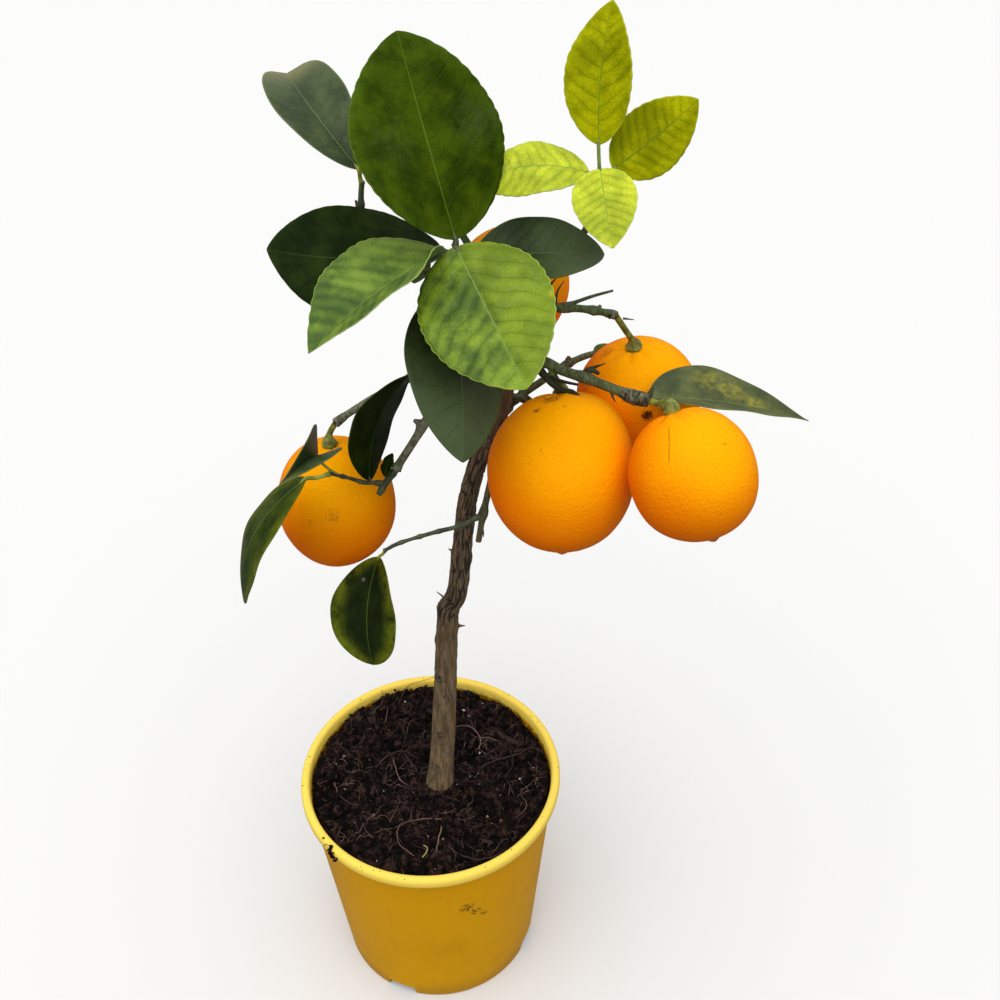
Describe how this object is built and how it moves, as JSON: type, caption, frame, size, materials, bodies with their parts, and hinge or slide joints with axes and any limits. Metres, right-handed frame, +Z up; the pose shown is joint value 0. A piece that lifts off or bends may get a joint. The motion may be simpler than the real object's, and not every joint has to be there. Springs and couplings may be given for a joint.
{
  "type": "potted lemon tree",
  "caption": "Young lemon tree with ripe round fruit and broad glossy leaves on a slender leaning trunk, rooted in compost in a tapered plastic pot.",
  "frame": {"origin": "centre of the pot's flat underside, on the ground", "axes": "+Z up along the pot's axis, -Y towards the front of the plant, +X to the right seen from the front"},
  "size_m": [0.2993, 0.2262, 0.6715],
  "materials": {
    "pot_plastic": "satin moulded yellow plastic",
    "compost": "dark moist potting compost",
    "bark": "grey-brown finely fissured bark",
    "green_wood": "smooth green young wood",
    "leaf": "glossy dark green leaf",
    "young_leaf": "satin yellow-green young leaf",
    "rind": "waxy orange-yellow rind with fine pores"
  },
  "bodies": {
    "root": {"pot": "pot_plastic", "compost": "compost", "trunk": "bark", "leader": "green_wood", "right_bough": "green_wood", "upper_right_bough": "green_wood", "left_bough": "green_wood", "left_fruit_bough": "green_wood", "rear_bough": "green_wood", "back_bough": "green_wood", "young_bough": "green_wood", "rear_top_bough": "green_wood", "upper_left_bough": "green_wood", "low_shoot": "green_wood", "lemon_centre": "rind", "lemon_right": "rind", "lemon_upper": "rind", "lemon_back": "rind", "lemon_left": "rind", "top_spray": "leaf", "upper_left_spray": "leaf", "right_spray": "leaf", "left_spray": "leaf", "low_spray": "leaf", "rear_top_spray": "leaf", "rear_left_spray": "leaf", "rear_middle_spray": "leaf", "rear_right_spray": "leaf", "low_rear_spray": "leaf", "young_spray": "young_leaf"}
  },
  "joints": []
}
